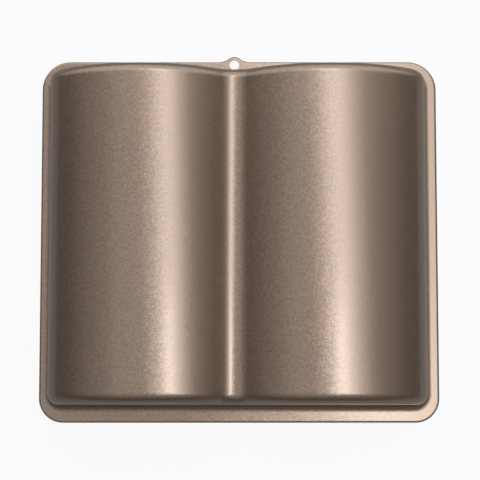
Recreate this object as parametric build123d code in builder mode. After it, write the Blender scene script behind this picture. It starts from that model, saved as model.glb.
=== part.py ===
from build123d import *
import os
from math import radians, tan

os.makedirs("parts", exist_ok=True)

# Shaped baking pan in the form of an open book, resting mouth down with its two pages up.
# It is one pressing: a single sheet of steel drawn into two half-barrel pages with a valley
# between them, blended at the foot into a flat rim, whose edge is turned down as a lip and
# runs out at the head into a small hanging tab. All sizes are in millimetres.
# X runs across the pages, Y from the foot of the pages to the head, where the tab is, and Z up.
# The origin is the middle of the whole outline, in the plane that the lip stands on.

# Sheet and rim
sheet = 0.8
rim_width = 280.0
rim_depth = 256.0
rim_height = 3.0
rim_bend_radius = 1.6
rim_corner_front = 17.0
rim_corner_back = 20.0

# Hanging tab, and its hole in the flat of the rim
tab_x = -3.4
tab_radius = 6.1
tab_blend_radius = 13.5
hole_radius = 3.5
hole_inset = 2.3

# Walls of the drawn form, measured where their planes meet the top of the rim
foot_inset_side = 9.6
foot_inset_end = 12.0
foot_radius = 5.2
form_x = -1.0
wall_draft = 2.9

# Pages
crest_height = 60.0
page_fall = 26.2
spine_x = -3.3
valley_radius = 14.5
shoulder_radius = 24.0
end_radius = 8.0

# Places that follow from the sizes
tab_reach = tab_radius - hole_inset
rim_middle_y = -tab_reach / 2
rim_back_y = rim_middle_y + rim_depth / 2
hole_y = rim_back_y - hole_inset
form_half_width = rim_width / 2 - foot_inset_side
form_half_depth = rim_depth / 2 - foot_inset_end
page_edge_height = crest_height - page_fall


def lean(height):
    """How far a drafted wall has leaned in at this height, counted from the top of the rim."""
    return (height - rim_height) * tan(radians(wall_draft))


def page_section(inset):
    """Closed section across the two pages and their side walls, seen from the foot of the book."""
    foot_x = form_half_width - lean(0)
    edge_x = form_half_width - lean(page_edge_height)
    with BuildSketch(Plane.XZ) as section:
        with BuildLine():
            Polyline(
                (form_x - edge_x, page_edge_height), (form_x - foot_x, 0),
                (form_x + foot_x, 0), (form_x + edge_x, page_edge_height),
            )
            for outer_x in (form_x - edge_x, form_x + edge_x):
                ThreePointArc(
                    (outer_x, page_edge_height),
                    ((outer_x + spine_x) / 2, crest_height),
                    (spine_x, page_edge_height),
                )
        make_face()
        if inset:
            offset(amount=-inset, kind=Kind.INTERSECTION)
    return section.sketch


def end_walls(inset):
    """Side view of the form, where the walls at the head and the foot lean in."""
    with BuildSketch(Plane.YZ) as side_view:
        with Locations((rim_middle_y, 0)):
            Trapezoid(
                2 * (form_half_depth - lean(0)), 2 * crest_height, 90 - wall_draft,
                align=(Align.CENTER, Align.MIN),
            )
        if inset:
            offset(amount=-inset, kind=Kind.INTERSECTION)
    return side_view.sketch


def rim_outline(inset):
    """Outline of the rim from above: rounded corners, and the tab that runs out of its back edge."""
    with BuildSketch(Plane.XY.offset(-inset)) as outline:
        with Locations((0, rim_middle_y)):
            Rectangle(rim_width, rim_depth)
        fillet(outline.vertices().group_by(Axis.Y)[0], rim_corner_front)
        fillet(outline.vertices().group_by(Axis.Y)[-1], rim_corner_back)
        with Locations((tab_x, hole_y)):
            Circle(tab_radius)
        tab_roots = outline.vertices().filter_by_position(Axis.X, tab_x - tab_radius, tab_x + tab_radius)
        fillet(tab_roots, tab_blend_radius)
        if inset:
            offset(amount=-inset)
    return outline.sketch


def book_form(inset):
    """The solid under the sheet's outer face, or, with an inset of one sheet, under its inner face."""
    with BuildPart() as body:
        extrude(page_section(inset), amount=rim_depth, both=True)
        # The shoulders, where the pages turn down into the side walls, and the valley at the spine
        page_edges = body.edges().filter_by(Axis.Y).sort_by(Axis.Z)[2:].sort_by(Axis.X)
        fillet([page_edges[0], page_edges[-1]], shoulder_radius - inset)
        crease = body.edges().filter_by(Axis.Y).sort_by_distance((spine_x, 0, crest_height))[0]
        fillet(crease, valley_radius + inset)
        extrude(end_walls(inset), amount=rim_width, both=True, mode=Mode.INTERSECT)
        # One rolled edge runs up each corner and over the ends of the pages
        for side in (0, -1):
            end_wall = body.faces().sort_by(Axis.Y)[side]
            fillet(end_wall.edges().sort_by(Axis.Z)[1:], end_radius - inset)
        extrude(rim_outline(inset), amount=rim_height)
        # The walls flow into the rim, and the rim's edge is bent down
        rim_top = body.faces().filter_by(Axis.Z).sort_by(Axis.Z)[-1]
        fillet(rim_top.inner_wires()[0].edges(), foot_radius + inset)
        rim_top = body.faces().filter_by(Axis.Z).sort_by(Axis.Z)[-1]
        fillet(rim_top.outer_wire().edges(), rim_bend_radius - inset)
    return body.part


# The pan is what lies between the two faces, with the hanging hole through the tab
with BuildPart() as pan_shell:
    add(book_form(0))
    add(book_form(sheet), mode=Mode.SUBTRACT)
    with Locations((tab_x, hole_y, rim_height)):
        Hole(hole_radius, depth=rim_height)
pan_shell.part.label = "pan_shell"
export_step(pan_shell.part, "parts/pan_shell.step")
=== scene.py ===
# %% [markdown]
# # A baking pan shaped like an open book
# The real pan is one pressing of thin steel with a bronze non-stick coat that is full of metal
# flakes. It lies mouth down, so the two barrel-shaped pages are on top. This lesson draws the same
# pressing again as a fine mesh, gives it the flaked coat, and lights it like a product picture.

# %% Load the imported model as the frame
from math import atan2, cos, pi, radians, sin, sqrt, tan

import bmesh
import bpy
from mathutils import Matrix, Vector


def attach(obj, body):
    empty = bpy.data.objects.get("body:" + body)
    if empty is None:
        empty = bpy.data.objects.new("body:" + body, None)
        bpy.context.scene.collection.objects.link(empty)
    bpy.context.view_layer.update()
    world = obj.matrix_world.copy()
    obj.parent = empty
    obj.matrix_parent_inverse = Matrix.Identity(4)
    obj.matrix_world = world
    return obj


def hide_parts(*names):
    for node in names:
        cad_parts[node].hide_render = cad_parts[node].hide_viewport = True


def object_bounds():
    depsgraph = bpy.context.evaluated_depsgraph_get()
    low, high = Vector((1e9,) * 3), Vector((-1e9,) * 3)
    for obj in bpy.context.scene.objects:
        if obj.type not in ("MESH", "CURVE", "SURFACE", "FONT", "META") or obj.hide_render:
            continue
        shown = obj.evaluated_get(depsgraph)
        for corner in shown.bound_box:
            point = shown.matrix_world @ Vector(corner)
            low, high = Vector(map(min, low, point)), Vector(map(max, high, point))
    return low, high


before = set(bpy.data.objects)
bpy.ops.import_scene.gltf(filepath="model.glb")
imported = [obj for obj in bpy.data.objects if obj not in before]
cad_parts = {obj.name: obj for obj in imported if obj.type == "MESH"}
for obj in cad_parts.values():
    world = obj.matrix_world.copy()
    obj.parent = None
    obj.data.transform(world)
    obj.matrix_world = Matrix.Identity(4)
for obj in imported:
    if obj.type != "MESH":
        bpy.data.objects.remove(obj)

cad_low, cad_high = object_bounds()
print("CAD box, mm:", [round(v * 1000, 1) for v in (*cad_low, *cad_high)])

# %% [markdown]
# ## The sizes of the pressing
# The overall width, depth and height are read from the frame's box, so the mesh can't drift away
# from the solid that it stands for. The rest are the pressing's own sizes in metres: the sheet,
# the inset of the walls from the rim's edge, and the radius of each rounded place.

# %% Sizes in metres
MM = 0.001
sheet = 0.8 * MM
rim_height = 3.0 * MM
rim_bend = 1.6 * MM
corner_front = 17.0 * MM
corner_back = 20.0 * MM
tab_x = -3.4 * MM
tab_radius = 6.1 * MM
tab_blend = 13.5 * MM
hole_radius = 3.5 * MM
hole_inset = 2.3 * MM
foot_side = 9.6 * MM
foot_end = 12.0 * MM
foot_blend = 5.2 * MM
form_x = -1.0 * MM
draft = radians(2.9)
page_fall = 26.2 * MM
spine_x = -3.3 * MM
valley_radius = 14.5 * MM
shoulder_radius = 24.0 * MM
end_radius = 8.0 * MM

left_x, right_x = cad_low.x, cad_high.x
front_y = cad_low.y
back_y = cad_high.y - (tab_radius - hole_inset)
crest_z = cad_high.z
middle_y = (front_y + back_y) / 2
form_half_x = (right_x - left_x) / 2 - foot_side
form_half_y = (back_y - front_y) / 2 - foot_end
print("rim, mm:", round((right_x - left_x) / MM, 1), "by", round((back_y - front_y) / MM, 1))

# %% [markdown]
# ## The section across the pages
# Seen from the foot of the book, the pressing is a chain of tangent arcs: wall, shoulder, page,
# valley, page, shoulder, wall. It could be a spline through hand-set points, but arcs are what the
# press tool has, and they keep each highlight smooth. The centres come from tangency: a circle
# that touches another from inside is the difference of the radii away, and from outside the sum.


# %% Centres of the arcs, as x and z in the section plane
def page_circle(outer_x):
    """Centre and radius of the page arc from an outer edge over its crest to the spine."""
    half = abs(outer_x - spine_x) / 2
    radius = (half * half + page_fall * page_fall) / (2 * page_fall)
    return Vector(((outer_x + spine_x) / 2, crest_z - radius)), radius


def wall_x(side, z):
    """Where the left (-1) or right (1) wall is at this height."""
    return form_x + side * (form_half_x - (z - rim_height) * tan(draft))


def shoulder_circle(side, page, page_radius):
    """Centre of the shoulder arc, which touches the page from inside and the leaning wall."""
    outward = Vector((side * cos(draft), sin(draft)))
    upward = Vector((-side * sin(draft), cos(draft)))
    start = Vector((wall_x(side, rim_height), rim_height)) - outward * shoulder_radius
    away = start - page
    along = away.dot(upward)
    reach = page_radius - shoulder_radius
    climb = -along + sqrt(along * along - away.length_squared + reach * reach)
    return start + upward * climb, outward


def valley_circle(left, left_radius, right, right_radius):
    """Centre of the valley arc, which touches both pages from outside."""
    across = right - left
    gap = across.length
    from_left, from_right = left_radius + valley_radius, right_radius + valley_radius
    along = (from_left ** 2 - from_right ** 2 + gap * gap) / (2 * gap)
    above = sqrt(from_left ** 2 - along * along)
    unit = across / gap
    return left + unit * along + Vector((-unit.y, unit.x)) * above


edge_z = crest_z - page_fall
left_page, left_radius = page_circle(wall_x(-1, edge_z))
right_page, right_radius = page_circle(wall_x(1, edge_z))
left_shoulder, left_normal = shoulder_circle(-1, left_page, left_radius)
right_shoulder, right_normal = shoulder_circle(1, right_page, right_radius)
valley = valley_circle(left_page, left_radius, right_page, right_radius)
print("page radii, mm:", round(left_radius / MM, 1), round(right_radius / MM, 1))
print("valley floor, mm:", round((valley.y - valley_radius) / MM, 1))

# %% [markdown]
# ## Drawing the chain of arcs
# A single vertex is enough to start from. Extruding it draws a straight edge, and spinning it
# draws an arc, so the chain is made the way a pen would draw it. Short helpers keep that readable.


# %% Pen helpers: a straight run and an arc
def line_to(bm, pen, target):
    """Extrudes the pen vertex in a straight edge to the target and gives the new pen vertex."""
    made = bmesh.ops.extrude_vert_indiv(bm, verts=[pen])["verts"][0]
    made.co = target
    return made


def arc_about(bm, pen, centre, axis, angle, step=radians(2.0)):
    """Spins the pen vertex about a centre and gives the last vertex."""
    steps = max(4, round(abs(angle) / step))
    made = bmesh.ops.spin(
        bm, geom=[pen], cent=centre, axis=axis, dvec=(0, 0, 0), angle=angle,
        steps=steps, use_merge=False, use_normal_flip=False, use_duplicate=False,
    )
    return [v for v in made["geom_last"] if isinstance(v, bmesh.types.BMVert)][0]


def turn(centre, before, after):
    """Angle between two points seen from a centre."""
    return (before - centre).angle(after - centre)


# %% The section chain, drawn in front of the form
def section_chain(bm, y):
    """Draws the section from the left foot to the right foot in the plane at this y."""
    left_wall_top = left_shoulder + left_normal * shoulder_radius
    left_page_start = left_page + (left_shoulder - left_page).normalized() * left_radius
    left_page_end = left_page + (valley - left_page).normalized() * left_radius
    right_page_start = right_page + (valley - right_page).normalized() * right_radius
    right_page_end = right_page + (right_shoulder - right_page).normalized() * right_radius
    right_wall_top = right_shoulder + right_normal * shoulder_radius
    arcs = (
        (left_shoulder, turn(left_shoulder, left_wall_top, left_page_start)),
        (left_page, turn(left_page, left_page_start, left_page_end)),
        (valley, -turn(valley, left_page_end, right_page_start)),
        (right_page, turn(right_page, right_page_start, right_page_end)),
        (right_shoulder, turn(right_shoulder, right_page_end, right_wall_top)),
    )
    pen = bm.verts.new((wall_x(-1, 0), y, 0))
    pen = line_to(bm, pen, (left_wall_top.x, y, left_wall_top.y))
    for centre, angle in arcs:
        pen = arc_about(bm, pen, (centre.x, y, centre.y), (0, 1, 0), angle)
    print("section ends on the right wall within, mm:",
          round(abs(pen.co.x - right_wall_top.x) / MM, 4))
    line_to(bm, pen, (wall_x(1, 0), y, 0))


# %% [markdown]
# ## The drawn form
# The chain is extruded along the book, and two leaning planes cut the head and the foot walls.
# Each cut is closed with one flat face. Its edge is then bevelled with many segments and a profile
# of 0.5, a true quarter round, so one rolled edge runs up each corner and over the page ends, as
# it does on the press tool. A boolean would leave the same shape with a worse mesh.


# %% Extrude, cut and close the ends
touching = 0.01 * MM
roll_segments = 14


def on_plane(edge, point, normal):
    """Whether both ends of an edge lie on the plane."""
    return all(abs((v.co - point).dot(normal)) < touching for v in edge.verts)


def cut_end(bm, side):
    """Cuts the head (1) or foot (-1) wall, closes it, and gives the edges that get rounded."""
    point = Vector((0, middle_y + side * form_half_y, rim_height))
    normal = Vector((0, side * cos(draft), sin(draft)))
    everything = bm.verts[:] + bm.edges[:] + bm.faces[:]
    bmesh.ops.bisect_plane(bm, geom=everything, plane_co=point, plane_no=normal, clear_outer=True)
    rim = [e for e in bm.edges if on_plane(e, point, normal)]
    feet = sorted((v for e in rim for v in e.verts), key=lambda v: v.co.z)
    left = min(feet, key=lambda v: (round(v.co.z, 6), v.co.x))
    right = min(feet, key=lambda v: (round(v.co.z, 6), -v.co.x))
    closing = bmesh.ops.contextual_create(bm, geom=[left, right])["edges"]
    bmesh.ops.edgeloop_fill(bm, edges=rim + list(closing))
    return rim


def drawn_form(bm):
    """The pages and walls of the form, open at the bottom."""
    section_chain(bm, front_y)
    made = bmesh.ops.extrude_edge_only(bm, edges=bm.edges[:])
    moved = [v for v in made["geom"] if isinstance(v, bmesh.types.BMVert)]
    bmesh.ops.translate(bm, verts=moved, vec=(0, back_y - front_y, 0))
    rolled = cut_end(bm, -1) + cut_end(bm, 1)
    bmesh.ops.bevel(
        bm, geom=rolled, offset=end_radius * tan((pi / 2 - draft) / 2), offset_type="OFFSET",
        segments=roll_segments, profile=0.5, affect="EDGES", material=-1, clamp_overlap=False,
    )
    cut_z = rim_height + foot_blend * (1 - sin(draft))
    everything = bm.verts[:] + bm.edges[:] + bm.faces[:]
    bmesh.ops.bisect_plane(
        bm, geom=everything, plane_co=(0, 0, cut_z), plane_no=(0, 0, -1), clear_outer=True
    )
    bmesh.ops.remove_doubles(bm, verts=bm.verts[:], dist=touching)
    return [e for e in bm.edges if e.is_boundary]


# %% [markdown]
# ## Flowing into the rim
# Where the walls meet the rim the sheet turns through a concave blend, and at the rim's edge it
# bends down into a lip. Both are loops that are extruded ring by ring. Each ring is pushed out by
# the corner's own mitre, so straight runs stay straight and rounded corners grow by the right
# amount, which scaling the loop would not do.


# %% Ring helpers
def ordered(edges):
    """The vertices of one closed loop of edges, in order, anticlockwise from above."""
    links = {}
    for e in edges:
        for v in e.verts:
            links.setdefault(v, []).append(e.other_vert(v))
    start = edges[0].verts[0]
    loop, before, here = [start], None, start
    while True:
        ahead = [v for v in links[here] if v is not before]
        before, here = here, ahead[0]
        if here is start:
            break
        loop.append(here)
    area = sum(a.co.x * b.co.y - b.co.x * a.co.y for a, b in zip(loop, loop[1:] + loop[:1]))
    return loop if area > 0 else loop[::-1]


def mitres(loop):
    """For each vertex the plan direction that moves both of its edges out by one."""
    answer = []
    for i, v in enumerate(loop):
        back = (v.co - loop[i - 1].co).to_2d().normalized()
        ahead = (loop[(i + 1) % len(loop)].co - v.co).to_2d().normalized()
        first, second = Vector((back.y, -back.x)), Vector((ahead.y, -ahead.x))
        answer.append((first + second) / (1 + first.dot(second)))
    return answer


def grow(bm, edges, profile):
    """Extrudes a loop through a list of (out, up) steps and gives the last ring's edges."""
    for out, up in profile:
        made = bmesh.ops.extrude_edge_only(bm, edges=edges)["geom"]
        edges = [e for e in made if isinstance(e, bmesh.types.BMEdge) and e.is_boundary]
        loop = ordered(edges)
        for v, direction in zip(loop, mitres(loop)):
            v.co += Vector((direction.x * out, direction.y * out, up))
    return edges


def arc_steps(radius, start, end, count):
    """Steps (out, up) along an arc, from one angle to another in the plane of out and up."""
    points = [start + (end - start) * i / count for i in range(count + 1)]
    return [
        (radius * (cos(b) - cos(a)), radius * (sin(b) - sin(a))) for a, b in zip(points, points[1:])
    ]


# %% [markdown]
# ## The rim's outline
# The outline is drawn with the same pen: the round tab with a blend on each side of it, then the
# four straight runs and the corners between them. The two circles of a blend touch where the line
# between their centres crosses them, which gives both the tab's root and the angle to spin.


# %% The rim's outline with its tab
def rim_outline(bm):
    """Draws the outline of the lip at z = 0, clockwise from the left root of the tab."""
    up = (0, 0, 1)
    hole_y = back_y - hole_inset
    root_x = sqrt((tab_radius + tab_blend) ** 2 - (hole_inset + tab_blend) ** 2)
    blend_turn = atan2(root_x, hole_inset + tab_blend)
    fine = radians(3.0)
    start = bm.verts.new((tab_x - root_x, back_y, 0))
    pen = arc_about(bm, start, (tab_x - root_x, back_y + tab_blend, 0), up, blend_turn, fine)
    pen = arc_about(bm, pen, (tab_x, hole_y, 0), up, -2 * blend_turn, fine)
    pen = arc_about(bm, pen, (tab_x + root_x, back_y + tab_blend, 0), up, blend_turn, fine)
    corners = (
        (right_x, back_y, -1, -1, corner_back), (right_x, front_y, -1, 1, corner_front),
        (left_x, front_y, 1, 1, corner_front), (left_x, back_y, 1, -1, corner_back),
    )
    for number, (x, y, to_x, to_y, radius) in enumerate(corners):
        along_x = number % 2 == 0
        arrive = (x + to_x * radius, y, 0) if along_x else (x, y + to_y * radius, 0)
        pen = line_to(bm, pen, arrive)
        centre = (x + to_x * radius, y + to_y * radius, 0)
        pen = arc_about(bm, pen, centre, up, -pi / 2, fine)
    line_to(bm, pen, start.co)
    bmesh.ops.remove_doubles(bm, verts=bm.verts[:], dist=touching)
    return bm.edges[:]


# %% [markdown]
# ## Putting the sheet together
# The form with its foot blend is one mesh and the lip with its bend is another. They are joined in
# one bmesh, and the flat of the rim between them is filled in one go with the hanging hole left
# open. Narrow flat rings beside each blend keep the shading of the flat part flat.


# %% One surface
flat_ring = 0.3 * MM
bend_steps = 8
blend_steps = 12
hole_segments = 48
weld = 0.005 * MM


def pressed_surface():
    """The outer face of the whole pressing as a mesh of no thickness."""
    bm = bmesh.new()
    lip = rim_outline(bm)
    bend = arc_steps(rim_bend, 0, pi / 2, bend_steps)
    grow(bm, lip, [(0, rim_height - rim_bend), *bend, (-flat_ring, 0)])
    upper = bmesh.new()
    foot = drawn_form(upper)
    blend = arc_steps(foot_blend, pi + draft, 3 * pi / 2, blend_steps)
    grow(upper, foot, [*blend, (flat_ring, 0)])
    form_mesh = bpy.data.meshes.new("form_part")
    upper.to_mesh(form_mesh)
    upper.free()
    bm.from_mesh(form_mesh)
    bpy.data.meshes.remove(form_mesh)
    hole_at = (tab_x, back_y - hole_inset, rim_height)
    bmesh.ops.create_circle(
        bm, segments=hole_segments, radius=hole_radius, cap_ends=False,
        matrix=Matrix.Translation(hole_at),
    )
    flat_edges = [
        e for e in bm.edges
        if (e.is_boundary or e.is_wire)
        and all(abs(v.co.z - rim_height) < touching for v in e.verts)
    ]
    bmesh.ops.triangle_fill(
        bm, use_beauty=True, use_dissolve=False, edges=flat_edges, normal=(0, 0, 1)
    )
    bmesh.ops.remove_doubles(bm, verts=bm.verts[:], dist=weld)
    bmesh.ops.recalc_face_normals(bm, faces=bm.faces[:])
    top = max(bm.faces, key=lambda f: f.calc_center_median().z)
    if top.normal.z < 0:
        bmesh.ops.reverse_faces(bm, faces=bm.faces[:])
    mesh = bpy.data.meshes.new("pan")
    bm.to_mesh(mesh)
    print("surface:", len(bm.verts), "vertices,", len(bm.faces), "faces,",
          sum(e.is_boundary for e in bm.edges), "open edges")
    bm.free()
    return mesh


# %% [markdown]
# ## The thickness of the sheet
# The real sheet is equally thick everywhere. Extruding the faces by hand would thin it on the
# walls, so Solidify with even offset does it, inwards from the outer face, and is then applied.


# %% The thickness, the shading, and what the mesh stands for
crease_angle = radians(40)
pan = bpy.data.objects.new("pan", pressed_surface())
bpy.context.collection.objects.link(pan)
thickness = pan.modifiers.new("sheet", "SOLIDIFY")
thickness.thickness = sheet
thickness.offset = -1
thickness.use_even_offset = True
thickness.use_quality_normals = True
depsgraph = bpy.context.evaluated_depsgraph_get()
solid_mesh = bpy.data.meshes.new_from_object(pan.evaluated_get(depsgraph))
pan.modifiers.clear()
pan.data = solid_mesh
for face in solid_mesh.polygons:
    face.use_smooth = True
solid_mesh.set_sharp_from_angle(angle=crease_angle)
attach(pan, "root")
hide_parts("pan_shell")
print("pan:", len(solid_mesh.vertices), "vertices,", len(solid_mesh.polygons), "faces")

# %% [markdown]
# ## The flaked coat
# The coat is a silicone lacquer full of fine metal flakes. Each flake lies almost flat, but not
# quite, so each catches the light a little differently and the surface sparkles. The group below
# gives every cell of a fine Voronoi pattern its own small tilt and its own brightness.


# %% Flake group
def new_group(name, inputs, outputs):
    """A node group with named sockets, and the nodes that carry its inputs and outputs."""
    group = bpy.data.node_groups.new(name, "ShaderNodeTree")
    for label, kind, value in inputs:
        socket = group.interface.new_socket(name=label, in_out="INPUT", socket_type=kind)
        socket.default_value = value
    for label, kind in outputs:
        group.interface.new_socket(name=label, in_out="OUTPUT", socket_type=kind)
    return group, group.nodes.new("NodeGroupInput"), group.nodes.new("NodeGroupOutput")


def math_node(tree, operation, *values):
    """Adds a maths node, fed by numbers or by other nodes, and gives its output."""
    node = tree.nodes.new("ShaderNodeMath")
    node.operation = operation
    for socket, value in zip(node.inputs, values):
        if isinstance(value, (int, float)):
            socket.default_value = value
        else:
            tree.links.new(value, socket)
    return node.outputs[0]


def vector_node(tree, operation, *values):
    """Adds a vector maths node, fed by tuples or by other nodes."""
    node = tree.nodes.new("ShaderNodeVectorMath")
    node.operation = operation
    for socket, value in zip(node.inputs, values):
        if isinstance(value, tuple):
            socket.default_value = value
        else:
            tree.links.new(value, socket)
    return node


def flake_group():
    """The normal and the shade of each flake, as a group."""
    group, given, result = new_group(
        "flake_coat",
        [
            ("Size", "NodeSocketFloat", 1500.0),
            ("Tilt", "NodeSocketFloat", 0.1),
            ("Spread", "NodeSocketFloat", 0.2),
        ],
        [("Normal", "NodeSocketVector"), ("Shade", "NodeSocketFloat")],
    )
    place = group.nodes.new("ShaderNodeTexCoord")
    cells = group.nodes.new("ShaderNodeTexVoronoi")
    group.links.new(place.outputs["Object"], cells.inputs["Vector"])
    group.links.new(given.outputs["Size"], cells.inputs["Scale"])
    centred = vector_node(group, "SUBTRACT", cells.outputs["Color"], (0.5, 0.5, 0.5)).outputs[0]
    scaled = vector_node(group, "SCALE", centred)
    group.links.new(given.outputs["Tilt"], scaled.inputs["Scale"])
    surface = group.nodes.new("ShaderNodeNewGeometry")
    tilted = vector_node(group, "ADD", surface.outputs["Normal"], scaled.outputs[0]).outputs[0]
    unit = vector_node(group, "NORMALIZE", tilted).outputs[0]
    group.links.new(unit, result.inputs["Normal"])
    parts = group.nodes.new("ShaderNodeSeparateColor")
    group.links.new(cells.outputs["Color"], parts.inputs[0])
    about_zero = math_node(group, "SUBTRACT", parts.outputs[0], 0.5)
    spread = math_node(group, "MULTIPLY", about_zero, given.outputs["Spread"])
    group.links.new(math_node(group, "ADD", spread, 1.0), result.inputs["Shade"])
    return group


# %% [markdown]
# ## The coat on the steel
# The coat is mostly metal under a clear, fairly rough lacquer, which gives the wide warm sheen and
# the whiter streak inside it. A band by height lightens the rim's colour: painted sheen for the flat
# rim's brighter reflection. One material serves the pan and the CAD node that it stands for.


# %% The coat material
bronze = (0.33, 0.222, 0.150, 1)
# How much the painted sheen lightens the rim's colour
rim_sheen_gain = 0.15


def low_band(tree, full, none):
    """1 on the rim, up to one height above the table, and 0 from another height on."""
    place = tree.nodes.new("ShaderNodeTexCoord")
    parts = tree.nodes.new("ShaderNodeSeparateXYZ")
    ramp = tree.nodes.new("ShaderNodeMapRange")
    ramp.inputs["From Min"].default_value = full
    ramp.inputs["From Max"].default_value = none
    ramp.inputs["To Min"].default_value = 1
    ramp.inputs["To Max"].default_value = 0
    tree.links.new(place.outputs["Object"], parts.inputs[0])
    tree.links.new(parts.outputs["Z"], ramp.inputs["Value"])
    return ramp.outputs["Result"]


def coat_material():
    """The flaked bronze coat, with a painted sheen that lightens the rim's colour."""
    material = bpy.data.materials.new("bronze_nonstick")
    material.use_nodes = True
    tree = material.node_tree
    shader = tree.nodes["Principled BSDF"]
    flakes = tree.nodes.new("ShaderNodeGroup")
    flakes.node_tree = flake_group()
    flakes.inputs["Size"].default_value = 1100.0
    flakes.inputs["Tilt"].default_value = 0.075
    flakes.inputs["Spread"].default_value = 0.25
    base = tree.nodes.new("ShaderNodeMix")
    base.data_type = "RGBA"
    base.blend_type = "MULTIPLY"
    base.inputs["Factor"].default_value = 1.0
    base.inputs["A"].default_value = bronze
    # Painted sheen: a band by height lightens the rim's colour to stand in for its brighter
    # reflection
    painted_rim_sheen = low_band(tree, full=3.5 * MM, none=6.0 * MM)
    lighter = math_node(tree, "MULTIPLY_ADD", painted_rim_sheen, rim_sheen_gain, 1.0)
    tree.links.new(math_node(tree, "MULTIPLY", flakes.outputs["Shade"], lighter), base.inputs["B"])
    tree.links.new(base.outputs["Result"], shader.inputs["Base Color"])
    tree.links.new(flakes.outputs["Normal"], shader.inputs["Normal"])
    shader.inputs["Metallic"].default_value = 0.85
    shader.inputs["Roughness"].default_value = 0.33
    shader.inputs["Coat Weight"].default_value = 1.0
    shader.inputs["Coat Roughness"].default_value = 0.20
    shader.inputs["Coat IOR"].default_value = 2.0
    return material


coat = coat_material()
pan.data.materials.clear()
pan.data.materials.append(coat)
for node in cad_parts.values():
    for slot in node.material_slots:
        slot.material = coat
print("coat:", coat.name, "on the pan and", len(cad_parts), "CAD node")

# %% [markdown]
# ## The floor
# The picture has a plain white ground. More light on a grey floor would wash out the pan too, so
# the whiteness is given by Light Path, nearly in full to camera rays, and a diffuse floor under it
# keeps the shadow. Mirrored rays see a tenth of the white, because the pan reflects a darker room
# than the ground. From beneath the floor is clear, so the inside of the pan can be looked at.


# %% Floor
mirrored_share = 0.10
floor_white = 0.92
floor_shade = 0.24
paler_to_camera = 0.60


def white_ground(tree, seen):
    """How much white a ray sees: this share for a camera ray, and less for a mirrored one."""
    rays = tree.nodes.new("ShaderNodeLightPath")
    bent = math_node(tree, "ADD", rays.outputs["Is Glossy Ray"], rays.outputs["Is Transmission Ray"])
    bent = math_node(tree, "MULTIPLY", bent, mirrored_share)
    return math_node(tree, "MULTIPLY_ADD", rays.outputs["Is Camera Ray"], seen, bent)


def floor_material():
    """White to the camera, grey to the light, and clear from beneath."""
    material = bpy.data.materials.new("pale_floor")
    material.use_nodes = True
    tree = material.node_tree
    shader = tree.nodes["Principled BSDF"]
    shader.inputs["Roughness"].default_value = 1.0
    shader.inputs["Specular IOR Level"].default_value = 0.0
    white = tree.nodes.new("ShaderNodeEmission")
    rays = tree.nodes.new("ShaderNodeLightPath")
    to_camera = rays.outputs["Is Camera Ray"]
    paleness = math_node(tree, "MULTIPLY_ADD", to_camera, paler_to_camera, floor_shade)
    tree.links.new(paleness, shader.inputs["Base Color"])
    mix = tree.nodes.new("ShaderNodeMixShader")
    tree.links.new(white_ground(tree, floor_white), mix.inputs[0])
    tree.links.new(shader.outputs[0], mix.inputs[1])
    tree.links.new(white.outputs[0], mix.inputs[2])
    side_seen = tree.nodes.new("ShaderNodeNewGeometry")
    clear = tree.nodes.new("ShaderNodeBsdfTransparent")
    from_beneath = tree.nodes.new("ShaderNodeMixShader")
    tree.links.new(side_seen.outputs["Backfacing"], from_beneath.inputs[0])
    tree.links.new(mix.outputs[0], from_beneath.inputs[1])
    tree.links.new(clear.outputs[0], from_beneath.inputs[2])
    tree.links.new(from_beneath.outputs[0], tree.nodes["Material Output"].inputs["Surface"])
    return material


floor_half = 8.0
floor_gap = 0.02 * MM
floor_bm = bmesh.new()
bmesh.ops.create_grid(floor_bm, x_segments=1, y_segments=1, size=floor_half)
floor_mesh = bpy.data.meshes.new("floor")
floor_bm.to_mesh(floor_mesh)
floor_bm.free()
floor = bpy.data.objects.new("floor", floor_mesh)
floor.location.z = cad_low.z - floor_gap
bpy.context.collection.objects.link(floor)
floor.data.materials.append(floor_material())
print("floor, mm under the lip:", round(floor_gap / MM, 3))

# %% [markdown]
# ## The softbox
# A streak runs down each page, bright in the middle and soft at its sides. One panel would give it
# hard edges, so narrower panels hang in a wide one, half a metre above the pan and to its right,
# and a short core brightens the front. A weak panel on the left lifts the rim on that side.


# %% Light
def soft_light(name, place, lean, turned, width, depth, watts):
    """A panel facing down, tipped to the left by lean and turned on its axis, both in degrees."""
    lamp = bpy.data.lights.new(name, "AREA")
    lamp.shape = "RECTANGLE"
    lamp.size, lamp.size_y = width, depth
    lamp.energy = watts
    holder = bpy.data.objects.new(name, lamp)
    holder.location = place
    holder.rotation_euler = (0, radians(lean), radians(turned))
    bpy.context.collection.objects.link(holder)


# Each panel's name, place, lean, turn, width, depth and watts
panels = (
    ("wide", (0.146, 0.120, 0.535), 5, 10, 0.42, 0.95, 0.55),
    ("key", (0.140, 0.120, 0.530), 5, 10, 0.24, 0.95, 0.52),
    ("middle", (0.136, 0.120, 0.525), 5, 10, 0.11, 0.95, 0.22),
    ("core", (0.160, -0.130, 0.520), 5, 10, 0.08, 0.20, 0.09),
    ("left", (-0.220, 0.100, 0.535), 0, 0, 0.25, 0.75, 0.09),
)
for panel in panels:
    soft_light(*panel)
print("panels:", len(panels), "of", round(sum(panel[-1] for panel in panels), 2), "W together")

# %% [markdown]
# ## The tent
# A product picture is taken in a tent of white cloth. Here it is the world's own light, bright
# overhead and at the back and dark on the camera's side, which gives the front wall its dark bands.
# The camera sees it white, as it does the floor, so only a faint edge shows from low down.


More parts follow.
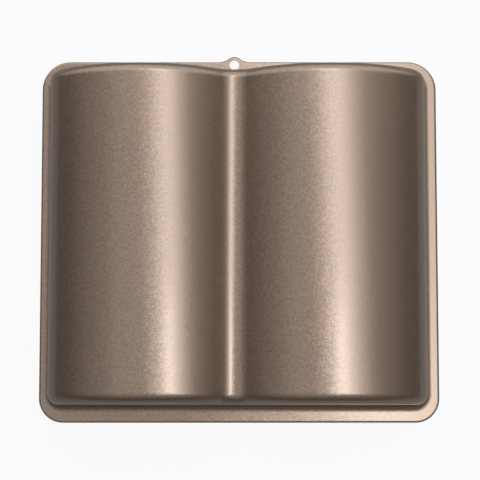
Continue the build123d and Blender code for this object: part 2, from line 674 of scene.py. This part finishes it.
# %% The tent around the table
def glow(tree, value, start, end, strength):
    """A soft rise from nothing to a strength as the value goes from start to end."""
    ramp = tree.nodes.new("ShaderNodeMapRange")
    ramp.interpolation_type = "SMOOTHSTEP"
    ramp.inputs["From Min"].default_value = start
    ramp.inputs["From Max"].default_value = end
    ramp.inputs["To Max"].default_value = strength
    tree.links.new(value, ramp.inputs["Value"])
    return ramp.outputs["Result"]


def tent(overhead, back, sides):
    """The world's light, as three glows by direction, and white to the camera."""
    world = bpy.data.worlds.new("studio")
    bpy.context.scene.world = world
    world.use_nodes = True
    tree = world.node_tree
    direction = tree.nodes.new("ShaderNodeTexCoord")
    parts = tree.nodes.new("ShaderNodeSeparateXYZ")
    tree.links.new(direction.outputs["Generated"], parts.inputs[0])
    aside = math_node(tree, "ABSOLUTE", parts.outputs["X"])
    above = glow(tree, parts.outputs["Z"], start=0.1, end=1, strength=overhead)
    behind = glow(tree, parts.outputs["Y"], start=0.26, end=0.75, strength=back)
    beside = glow(tree, aside, start=0.6, end=1, strength=sides)
    total = math_node(tree, "ADD", math_node(tree, "ADD", above, behind), beside)
    total = math_node(tree, "MAXIMUM", total, white_ground(tree, 1.0))
    tree.nodes["Background"].inputs["Color"].default_value = (1, 1, 1, 1)
    tree.links.new(total, tree.nodes["Background"].inputs["Strength"])


tent(overhead=0.43, back=0.90, sides=0.04)
print("world:", bpy.context.scene.world.name)

# %% [markdown]
# ## The camera
# The camera is close above the pan and looks almost straight down from the foot of the book. Its
# height and tilt decide how far the crests stand over the rim in the picture, so they were fitted
# to that, and a small shift frames the pan without tilting the camera further.

# %% Camera
camera_height = 0.783
camera_tilt = radians(3.9)
camera_shift = 0.118
frame_width = 0.3372
camera_x = 0.0006
axis_y = middle_y - camera_shift * frame_width
camera_data = bpy.data.cameras.new("camera")
camera_data.sensor_width = 36.0
camera_data.shift_y = camera_shift
depth_to_rim = camera_height / cos(camera_tilt)
camera_data.lens = camera_data.sensor_width * depth_to_rim / frame_width
camera = bpy.data.objects.new("camera", camera_data)
camera.location = (camera_x, axis_y - camera_height * tan(camera_tilt), rim_height + camera_height)
camera.rotation_euler = (camera_tilt, 0, 0)
camera_data.clip_start = 0.01
bpy.context.collection.objects.link(camera)
bpy.context.scene.camera = camera
bpy.context.scene.view_settings.view_transform = "Standard"
print("lens, mm:", round(camera_data.lens, 1))
